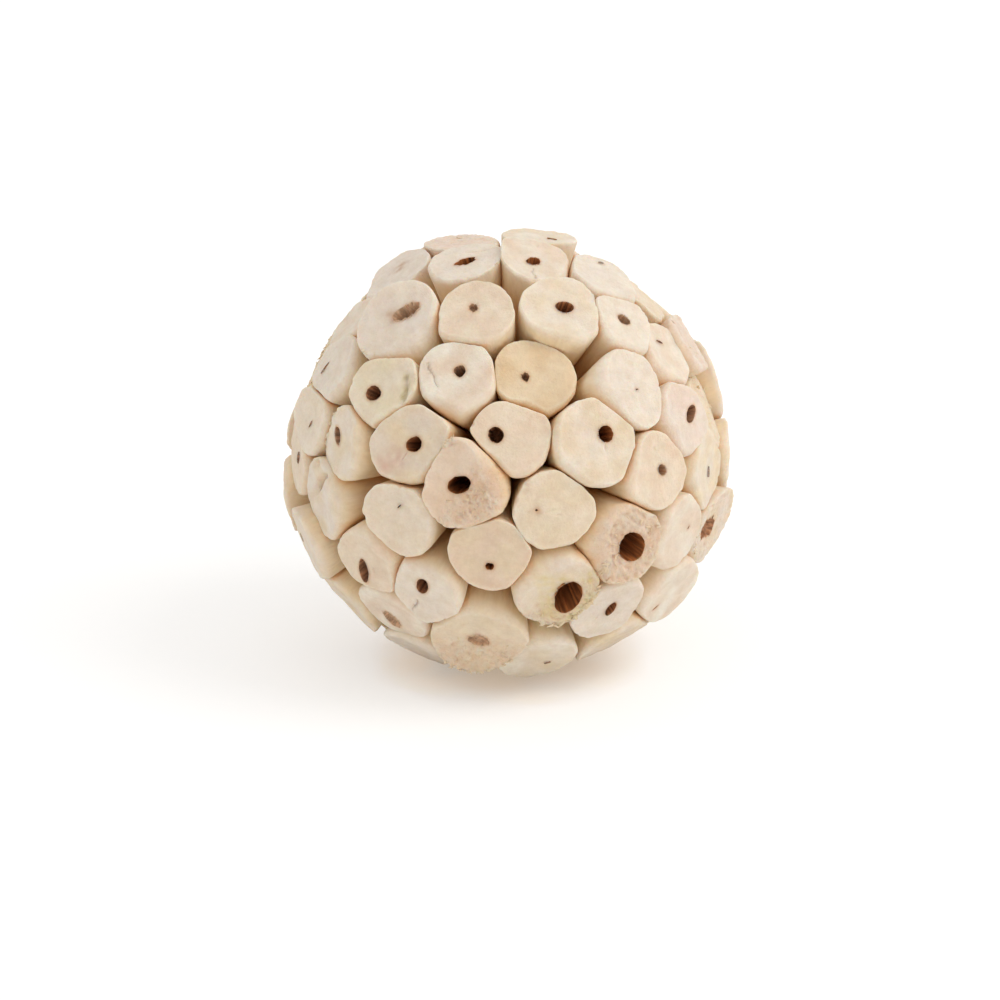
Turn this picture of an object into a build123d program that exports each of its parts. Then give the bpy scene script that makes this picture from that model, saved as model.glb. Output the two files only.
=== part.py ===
"""Sola wood ball: tapered stem pegs glued side by side round a small pith core.

Every peg is a length of peeled pith stem. Its butt is glued to a flat on the
core, its walls narrow toward the middle of the ball, and its outer end is cut
across with a knife, so each end shows the stem's round section, pressed flat
where a neighbour crowds it, with the pith channel open near the middle.
"""
from build123d import *
import os
from collections import namedtuple
from math import asin, atan2, cos, degrees, pi, radians, sin, sqrt

# ---- driving dimensions, in millimetres ----
end_radius = 27.8        # ball's middle to the cut end of an ordinary peg
foot_radius = 28.3       # ball's middle to the cut end that the ball stands on
core_radius = 10.0       # ball's middle to each flat on the core
glue_line = 0.2          # glue at a peg's butt, and between pressed walls
shoulder_width = 0.7     # worn rim of a cut end, measured across the end
shoulder_drop = 1.1      # and down the wall
bore_depth = 7.0         # open length of the pith channel
back_width = 9.8         # flat cut of an ordinary back peg
foot_width = 10.4        # flat cut of the foot peg
out_of_round = 0.25      # how far a stem's wall strays from a true circle

wall_count = 15          # knife facets round a peg
channel_ribs = 12        # fibre ribs round a pith channel
full_count = 104         # pegs that an evenly packed ball of this kind holds
crowding_angle = 14.5    # degrees from a placed peg within which no other starts
settling_steps = 60      # times the back pegs nudge each other apart

# Pegs of the front, as they were glued: longitude and latitude of the peg in
# degrees, its flat cut and its bore across (0 = closed), the bore's place on the
# cut to the east and up, how far the cut stands proud of end_radius, and how many
# degrees the cut is turned to the east and lifted.
Peg = namedtuple("Peg", "longitude latitude width bore east up proud turn lift")
top_pegs = [
    Peg(-142, 70, 9.2, 0, 0, 0, 0.2, 0, 12),
    Peg(-62, 77, 9.5, 2.2, 0, 0, 0, 0, 0),
    Peg(50, 80, 9.5, 2.2, -0.6, 0, 0, 0, -8),
    Peg(153, 71, 9.0, 0, 0, 0, 0.6, 0, 10),
    Peg(-104, 56, 9.8, 0, 0, 0, -0.2, 22, 0),
    Peg(-50, 49, 11.0, 2.4, 0.2, 2.2, 0.6, 10, -10),
    Peg(-17, 58, 9.5, 1.2, -0.3, 0.8, 0.5, 0, 0),
    Peg(28, 58, 10.0, 2.4, 0.4, 0.3, 0.6, 0, 0),
    Peg(78, 63, 9.5, 0, 0, 0, 0.2, 0, 0),
]
upper_pegs = [
    Peg(-109, 39, 9.0, 0, 0, 0, -0.5, 0, 0),
    Peg(-85, 43, 9.0, 0, 0, 0, -0.4, 0, 0),
    Peg(-94, 25, 9.0, 1.5, 0.5, 0, -0.7, 0, 0),
    Peg(-72, 31, 9.5, 0, 0, 0, 0, 0, 0),
    Peg(-43, 32, 9.8, 1.8, -1, -1, 0.2, 0, 0),
    Peg(-17, 38, 10.0, 1.5, 0, 1.3, 0, 0, 0),
    Peg(9, 40, 10.0, 1.2, -0.9, 0.4, -1.6, 0, 0),
    Peg(40, 32, 10.5, 0, 0, 0, 0.6, 6, 0),
    Peg(55, 49, 9.0, 1.8, 0.4, 0.6, 0.3, 5, 0),
    Peg(70, 36, 9.0, 0, 0, 0, -0.8, 0, 0),
    Peg(98, 47, 9.0, 0, 0, 0, -1.0, 0, 0),
    Peg(92, 33, 9.8, 0, 0, 0, 0.1, 0, 0),
]
middle_pegs = [
    Peg(-73, 15, 9.0, 0, 0, 0, 0, 6, 0),
    Peg(-79, 2, 9.0, 1.5, 0, 0, 0, 0, 0),
    Peg(-53, 14, 9.2, 2.2, -1.4, 0.8, 0, -12, 0),
    Peg(-28.5, 18.5, 11.0, 1.8, 0.5, 0.4, 0, 0, 0),
    Peg(-12, 11, 11.8, 2.8, -0.4, -0.2, 1.0, 0, 0),
    Peg(1, 24, 10.2, 1.8, -2, 0, -0.4, 0, 8),
    Peg(25, 20, 11.4, 1.8, 1.6, 1, 0.5, 0, 0),
    Peg(60, 19, 9.5, 2.2, 1.8, 0.2, 0, 0, 0),
    Peg(86, 14, 9.8, 0, 0, 0, -1.4, 0, 10),
    Peg(43, 9, 10.2, 1.6, 1.2, 0, 0.5, 5, 0),
    Peg(12, 3, 10.0, 0, 0, 0, 0, 0, 0),
    Peg(70, 2, 10.0, 0, 0, 0, -0.4, 0, 0),
    Peg(94, -3, 9.0, 0, 0, 0, 0.8, 0, 0),
]
lower_pegs = [
    Peg(-93, -12, 9.5, 0, 0, 0, 1.6, 0, 0),
    Peg(-58.5, -2.5, 10.2, 0, 0, 0, 0.2, -8, 0),
    Peg(-69, -19, 9.8, 0, 0, 0, 1.6, -6, 0),
    Peg(-30, -1, 9.8, 0, 0, 0, 0.2, 0, 0),
    Peg(-42, -16.5, 10.2, 2.2, -1.6, -2.0, 0, 0, 0),
    Peg(-5, -9, 9.8, 1.2, 0, -1.7, 0, 0, 0),
    Peg(-24.5, -23, 10.2, 1.8, 0, 1.4, 0.5, -6, 0),
    Peg(32, -9, 11.0, 3.6, 1.3, -0.4, 0.6, 0, 0),
    Peg(55, -12.5, 10.2, 0, 0, 0, -0.4, 0, 0),
    Peg(78, -18, 10.2, 1.8, -1.5, 0.6, 0.6, -15, 0),
    Peg(14, -21, 11.2, 3.4, 1.7, -1.4, 0, 0, 0),
]
under_pegs = [
    Peg(-67, -38, 9.8, 0, 0, 0, 1.0, 0, 0),
    Peg(-41, -35, 9.8, 2.4, -1.2, -2.1, 0, 0, 0),
    Peg(-10, -39, 12.0, 2.2, 0, -0.5, 0.6, 0, 12),
    Peg(-42, -54, 9.8, 0, 0, 0, 0.8, 0, 0),
    Peg(33, -32, 10.0, 1.8, 0.5, 0, 0, 0, 0),
    Peg(63, -34, 10.0, 0, 0, 0, 0.5, -12, 6),
    Peg(12, -51, 9.8, 0, 0, 0, 0.7, 0, 8),
    Peg(50, -51, 10.2, 0, 0, 0, 0.6, 0, 0),
]
front_pegs = top_pegs + upper_pegs + middle_pegs + lower_pegs + under_pegs
foot_peg = Peg(0, -90, foot_width, 0, 0, 0, foot_radius - end_radius, 0, 0)

# What the back pegs take by turns, so that no two side by side are alike.
back_bores = [1.8, 0, 0, 2.2, 0, 0, 1.4]
back_width_changes = [0, 0.4, -0.5, 0.2, -0.3]
back_prouds = [0, 0.5, -0.6, 0.2, -0.3, 0.4]
back_tilts = [0, 6, -5, 3, -7, 4, -2, 7]
back_rows = 5            # nodes that share the back pegs, one row above another
foot_ring_latitude = -60  # pegs below this stay clear of the floor


def direction(longitude, latitude):
    """Way out from the ball's middle; longitude 0 faces -Y and grows toward +X."""
    turn, rise = radians(longitude), radians(latitude)
    return Vector(cos(rise) * sin(turn), -cos(rise) * cos(turn), sin(rise))


def way_of(peg):
    """Way that a peg points."""
    return direction(peg.longitude, peg.latitude)


def even_directions(count):
    """Directions spread evenly over a ball, turning by the golden angle."""
    golden_angle = pi * (3 - sqrt(5))
    for number in range(count):
        height = 1 - (2 * number + 1) / count
        flat = sqrt(1 - height * height)
        yield Vector(flat * cos(golden_angle * number), flat * sin(golden_angle * number), height)


def settled(loose, fixed):
    """Loose directions after each has nudged away from the ones about it."""
    nudge, reach = 0.002, 0.7
    for _ in range(settling_steps):
        everyone = loose + fixed
        moved = []
        for way in loose:
            push = Vector(0, 0, 0)
            for other in everyone:
                offset = way - other
                if 0 < offset.length < reach:
                    push += offset * (1 / offset.length ** 4)
            moved.append((way + push * nudge).normalized())
        loose = moved
    return loose


def turn_about(values, number):
    """The value whose turn it is."""
    return values[number % len(values)]


def make_back_pegs(placed):
    """Pegs that fill the rest of the ball, round the ones already placed."""
    fixed = [way_of(peg) for peg in placed]
    free = [
        way for way in even_directions(full_count)
        if min(way.get_angle(other) for other in fixed) > crowding_angle
    ]
    pegs = []
    for number, way in enumerate(settled(free, fixed)):
        latitude = degrees(asin(way.Z))
        near_floor = latitude < foot_ring_latitude
        pegs.append(Peg(
            longitude=degrees(atan2(way.X, -way.Y)),
            latitude=latitude,
            width=back_width + turn_about(back_width_changes, number),
            bore=turn_about(back_bores, number),
            east=turn_about(back_tilts, number + 2) / 8,
            up=turn_about(back_tilts, number + 5) / 8,
            proud=0 if near_floor else turn_about(back_prouds, number),
            turn=0 if near_floor else turn_about(back_tilts, number),
            lift=0 if near_floor else turn_about(back_tilts, number + 3),
        ))
    return pegs


def reach(peg):
    """Ball's middle to the middle of a peg's cut."""
    return end_radius + peg.proud


def half_stem(peg):
    """Half the stem below its worn shoulder."""
    return peg.width / 2 + shoulder_width


def press_ways(peg, everyone):
    """Normals of the planes in which neighbouring stems press on this one.

    Each plane passes through the ball's middle and through the two points where
    the rims of the two stems would cross, so a thick stem takes more room.
    """
    def weighted(one):
        half_angle_cosine = reach(one) / sqrt(reach(one) ** 2 + half_stem(one) ** 2)
        return way_of(one) * (1 / half_angle_cosine)

    crowd_angle = 30
    near = [
        other for other in everyone
        if other is not peg and way_of(peg).get_angle(way_of(other)) < crowd_angle
    ]
    return [weighted(other) - weighted(peg) for other in near]


def wall_corners(peg, frame, everyone):
    """Points one millimetre out along the peg, on the lines where its facets meet."""
    way = frame.z_dir
    presses = press_ways(peg, everyone)
    corners = []
    for number in range(wall_count):
        angle = 2 * pi * number / wall_count
        outward = frame.x_dir * cos(angle) + frame.y_dir * sin(angle)
        radius = half_stem(peg) + out_of_round * sin(3 * angle + peg.longitude)
        slope = radius / reach(peg)
        for press in presses:
            if outward.dot(press) > 0:
                slope = min(slope, -way.dot(press) / outward.dot(press))
        slope -= glue_line / 2 / reach(peg)
        corners.append(way + outward * slope)
    return corners


def make_peg(peg, everyone):
    """One tapered stem: butt on the core, worn shoulder, tilted cut and open bore."""
    way = way_of(peg)
    frame = Plane(origin=(0, 0, 0), z_dir=way)
    cut_way = direction(peg.longitude + peg.turn, peg.latitude + peg.lift)
    middle = way * reach(peg)
    corners = wall_corners(peg, frame, everyone)

    def ring_below_cut(drop):
        """Wall corners on a plane this far below the cut."""
        level = middle.dot(cut_way) - drop
        return [corner * (level / corner.dot(cut_way)) for corner in corners]

    butt = [corner * (core_radius + glue_line) for corner in corners]
    inset = 1 - shoulder_width / half_stem(peg)
    cut = [middle + (corner - middle) * inset for corner in ring_below_cut(0)]
    stem = ConvexPolyhedron([*butt, *ring_below_cut(shoulder_drop), *cut])
    if peg.bore > 0:
        east = Vector(0, 0, 1).cross(way).normalized()
        mouth = middle + east * peg.east + way.cross(east) * peg.up
        channel = extrude(RegularPolygon(peg.bore / 2, channel_ribs), bore_depth, both=True)
        stem -= Plane(origin=mouth, z_dir=mouth) * channel
    return stem


def make_core(everyone):
    """Pith ball whittled with one flat for each peg's butt."""
    core = Box(3 * core_radius, 3 * core_radius, 3 * core_radius)
    for peg in everyone:
        flat = Plane(origin=way_of(peg) * core_radius, z_dir=way_of(peg))
        core = split(core, bisect_by=flat, keep=Keep.BOTTOM)
    return core


def write(shape, name):
    """Stand the ball on its foot, with the foot's cut at height 0, and save the piece."""
    export_step(Pos(0, 0, foot_radius) * shape, f"parts/{name}.step")


os.makedirs("parts", exist_ok=True)
back_pegs = make_back_pegs(front_pegs + [foot_peg])
all_pegs = front_pegs + [foot_peg] + back_pegs
write(make_core(all_pegs), "core")
write(make_peg(foot_peg, all_pegs), "foot_peg")
for number, peg in enumerate(front_pegs, start=1):
    write(make_peg(peg, all_pegs), f"peg_{number:02d}")
back_pegs.sort(key=lambda peg: -peg.latitude)
row_length = -(-len(back_pegs) // back_rows)
for row in range(back_rows):
    row_pegs = back_pegs[row * row_length:(row + 1) * row_length]
    stems = [make_peg(peg, all_pegs) for peg in row_pegs]
    write(Compound(children=stems), f"back_pegs_{row + 1}")
print(len(front_pegs), "front pegs,", len(back_pegs), "back pegs and the foot peg")
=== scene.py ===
# %% [markdown]
# # A sola wood ball
#
# The ball is a bundle of short stems. Each one is a piece of peeled sola pith, a
# very light plant pith that is sold as "sola wood", glued by its narrow butt to a
# small core and cut across at its outer end. This notebook dresses the packed
# model: every plain stem of the model is rebuilt with a worn rim, a slightly uneven
# cut, an open brown pith channel and the grain of real pith.
#
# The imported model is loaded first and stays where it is. Everything that follows
# takes its place and its size from it.

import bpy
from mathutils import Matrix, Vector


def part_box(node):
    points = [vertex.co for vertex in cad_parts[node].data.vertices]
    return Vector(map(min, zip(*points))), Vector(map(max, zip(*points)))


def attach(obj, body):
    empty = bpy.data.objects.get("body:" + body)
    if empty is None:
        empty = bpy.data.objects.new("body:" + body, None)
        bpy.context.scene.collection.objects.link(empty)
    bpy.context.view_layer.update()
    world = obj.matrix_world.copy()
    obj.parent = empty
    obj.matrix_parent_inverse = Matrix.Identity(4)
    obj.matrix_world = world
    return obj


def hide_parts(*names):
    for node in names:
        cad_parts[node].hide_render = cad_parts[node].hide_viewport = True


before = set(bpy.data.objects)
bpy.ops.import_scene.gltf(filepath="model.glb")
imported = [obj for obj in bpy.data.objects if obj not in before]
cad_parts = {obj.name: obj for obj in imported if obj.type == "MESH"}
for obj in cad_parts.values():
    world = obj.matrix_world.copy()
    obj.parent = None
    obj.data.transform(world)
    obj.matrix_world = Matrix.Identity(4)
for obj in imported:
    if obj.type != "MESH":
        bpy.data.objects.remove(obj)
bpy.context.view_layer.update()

# %% [markdown]
# ## Working in millimetres from the ball's middle
#
# Blender's unit here is the metre, which makes small craft work hard to read. All
# the shapes below are worked out in millimetres, measured from the ball's middle,
# and turned into metres once, when a mesh is made. The foot stem stands on the
# floor and its butt is glued 10.2 mm below the middle, so its box gives the height
# of the middle.

# %% Where the middle is
import bmesh
import bpy
import numpy as np
from collections import namedtuple
from mathutils import Vector

butt_distance = 10.2    # mm from the ball's middle to the glued butts
middle = np.array([0, 0, 1000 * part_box("foot_peg")[1].z + butt_distance])
print("the ball's middle is", round(float(middle[2]), 2), "mm above the floor")


def unit(vectors):
    """The same directions, one long."""
    return vectors / np.linalg.norm(vectors, axis=-1, keepdims=True)


# %% [markdown]
# ## Reading a stem back from the model
#
# A node of the model holds one stem, or a row of them. Walking along the edges from
# corner to corner separates a row into its stems. From the corners of one stem come
# all the facts that the detailed stem needs:
#
# - the butt is flat, so its plane gives the way that the stem points;
# - the walls all run to the ball's middle, so the butt's corners are also the
#   stem's outline at every height;
# - the widest face that looks outward is the knife cut;
# - corners part of the way down belong to the floor of the pith channel.

# %% Corners of each stem
Stem = namedtuple("Stem", "way east north cut_way level top outline bore_way bore_radius")
butt_reach = butt_distance + 2.5    # mm from the middle, as far as the butt's corners lie
floor_below = 4.5    # mm below the cut, where a channel's floor may begin
cut_slant = 0.93    # cosine of the most that a cut slants


def separate_stems(node):
    """The corners and faces of each stem in a node, in millimetres from the middle."""
    bm = bmesh.new()
    bm.from_mesh(node.data)
    bmesh.ops.remove_doubles(bm, verts=bm.verts, dist=1e-6)
    owner = {}
    for start in bm.verts:
        if start in owner:
            continue
        owner[start] = start
        walk = [start]
        for corner in walk:
            for edge in corner.link_edges:
                other = edge.other_vert(corner)
                if other not in owner:
                    owner[other] = start
                    walk.append(other)
        corners = np.array([1000 * np.array(corner.co) - middle for corner in walk])
        faces = [
            (np.array(face.normal), face.calc_area(), 1000 * np.array(face.calc_center_median()) - middle)
            for face in bm.faces if owner.get(face.verts[0]) is start]
        yield corners, faces
    bm.free()


# %% Facts of one stem
def read_stem(corners, faces):
    """The facts of one stem."""
    reach = np.linalg.norm(corners, axis=1)
    butt = corners[reach < butt_reach]
    way = np.linalg.svd(butt - butt.mean(0))[2][2]
    way = way * np.sign(butt.mean(0) @ way)
    east = np.cross([0, 0, 1], way)
    east = unit(east) if np.linalg.norm(east) > 0.01 else np.array([1.0, 0, 0])
    north = np.cross(way, east)
    cut_way = unit(sum(
        normal * area for normal, area, centre in faces
        if normal @ way > cut_slant and np.linalg.norm(centre) > 0.85 * reach.max()))
    level = (corners @ cut_way).max()
    top = way * (level / (way @ cut_way))
    outline = butt / (butt @ way)[:, None] - way
    outline = np.stack([outline @ east, outline @ north], axis=1)
    outline = outline[np.argsort(np.arctan2(outline[:, 1], outline[:, 0]))]
    floor = corners[(reach > butt_reach) & (reach < np.linalg.norm(top) - floor_below)]
    bore_way, bore_radius = way, 0
    if len(floor):
        bore_way = unit(floor.mean(0))
        bore_radius = np.linalg.norm(floor - floor.mean(0), axis=1).max()
    return Stem(way, east, north, cut_way, level, top, outline, bore_way, bore_radius)


# %% Read the stems
stems = {}
for name in sorted(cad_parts):
    if name != "core":
        found = [read_stem(*parts) for parts in separate_stems(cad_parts[name])]
        stems[name] = sorted(found, key=lambda stem: (-round(stem.way[2], 4), round(stem.way[0], 4)))
print("read", sum(len(found) for found in stems.values()), "stems in", len(stems), "nodes")

# %% [markdown]
# ## Unevenness from a dozen waves
#
# Nothing on dried pith is quite straight or flat. A simple way to get a natural
# unevenness is to add up a dozen sine waves of about the same wavelength that run in
# different directions. The sum rises and falls everywhere, has bumps of about that
# wavelength, and is the same at each run, because the directions come from a seeded
# generator. In the cells below, 0.10 * wander(points, 6.5, seed) reads as waves about
# 0.10 mm high and 6.5 mm long.

# %% Unevenness
wave_count = 12
usual_sum = 3.5    # how far such a sum strays from 0: about the root of the count


def wander(points, wavelength, seed):
    """A smooth uneven number at each point, mostly from -1 to 1."""
    chance = np.random.default_rng(seed)
    ways = unit(chance.normal(size=(wave_count, 3)))
    phases = chance.uniform(0, 2 * np.pi, wave_count)
    steps = 2 * np.pi / wavelength * chance.uniform(0.7, 1.3, wave_count)
    return np.sin(points @ (ways * steps[:, None]).T + phases).sum(-1) / usual_sum


def smooth_step(value, start, end):
    """0 before start, 1 after end, and a smooth rise between."""
    share = np.clip((value - start) / (end - start), 0, 1)
    return share * share * (3 - 2 * share)


def near(points, place, radius):
    """1 where points are at a place, falling to 0 within about two radii."""
    return np.exp(-((np.linalg.norm(points - place, axis=-1) / radius) ** 2))


def near_angle(angle, other, spread):
    """The same for angles in degrees."""
    gap = (angle - other + 180) % 360 - 180
    return np.exp(-((gap / spread) ** 2))


# %% [markdown]
# ## The outline of a stem
#
# The model's stems have flat facets. A real stem is round where it is free and flat
# where a neighbour presses on it, with rounded corners between. So the faceted
# outline is measured along 360 spokes, and the spokes' lengths are blurred a little
# round the stem. Blurring a ring of numbers is easy with a Fourier transform: quick
# changes round the ring are made weaker than slow ones.

# %% Outline
corner_blur = 4.5    # degrees over which a pressed corner is rounded


def spoke_lengths(stem, angles):
    """How far out the wall is on each spoke, for a stem one millimetre long."""
    turn = np.radians(np.arange(360.0))
    spokes = np.stack([np.cos(turn), np.sin(turn)], axis=1)
    corner_turns = np.arctan2(stem.outline[:, 1], stem.outline[:, 0])
    edge = np.searchsorted(corner_turns, (turn + np.pi) % (2 * np.pi) - np.pi) % len(corner_turns)
    first, second = stem.outline[edge - 1], stem.outline[edge]
    along = second - first
    lengths = (first[:, 0] * along[:, 1] - first[:, 1] * along[:, 0]) / (
        spokes[:, 0] * along[:, 1] - spokes[:, 1] * along[:, 0])
    weaker = np.exp(-0.5 * (np.arange(181) * np.radians(corner_blur)) ** 2)
    softened = np.fft.irfft(np.fft.rfft(lengths) * weaker, 360)
    return np.interp(angles, np.arange(361), np.append(softened, softened[0]))


# %% [markdown]
# ## What makes one stem unlike the next
#
# Each stem has a look: a tint, a rim that is worn more on one side, and a channel
# that is round, oval or squeezed to a slit. Some have a drying crack, a gouge, a
# stain, a crumbly patch or a frayed rim. Angles are seen from outside the ball: 0 is
# to the right, 90 is up. Places on the cut are millimetres to the right and up from
# the middle of the stem. The front pegs' looks are kept under their numbers, and every
# other stem takes its look by turns from short lists.

# %% Looks of the stems
Look = namedtuple("Look", (
    "tint "        # which pith colour
    "edge "        # mm that the cut's edge lies in from the wall
    "worn "        # (degrees, mm): where the edge is worn round, and how far in
    "mouth "       # (length over the model's, width over length, degrees) of a bored channel
    "ragged "      # 0 for a clean channel mouth, 1 for a torn one
    "pale "        # 0 for a dark channel, 1 for one that is pale inside
    "plug "        # mm below the cut at which crumbs fill the channel, 0 for open
    "slit "        # (east, north, length, width, degrees) of an opening in a closed stem
    "rough "       # 0 for a clean cut, 1 for a crumbly one
    "rough_side "  # degrees, where it crumbles, or None for all round
    "torn "        # (degrees, spread, mm) of a torn piece of rim
    "frayed "      # (degrees, spread, count, mm) of loose fibres at the rim
    "cracks "      # [(east, north, east, north)] from end to end of a crack
    "gouges "      # [(east, north, degrees, length, width, depth)]
    "stains"       # [(east, north, radius, colour)]
))
plain = Look("cream", 0.15, (270, 0.5), (1, 0.9, 0), 0.15, 0, 0, None, 0.1, None, None, None, [], [], [])


def own(tint, **changes):
    """A look with its own tint and whatever else is not plain."""
    return plain._replace(tint=tint, **changes)


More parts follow.
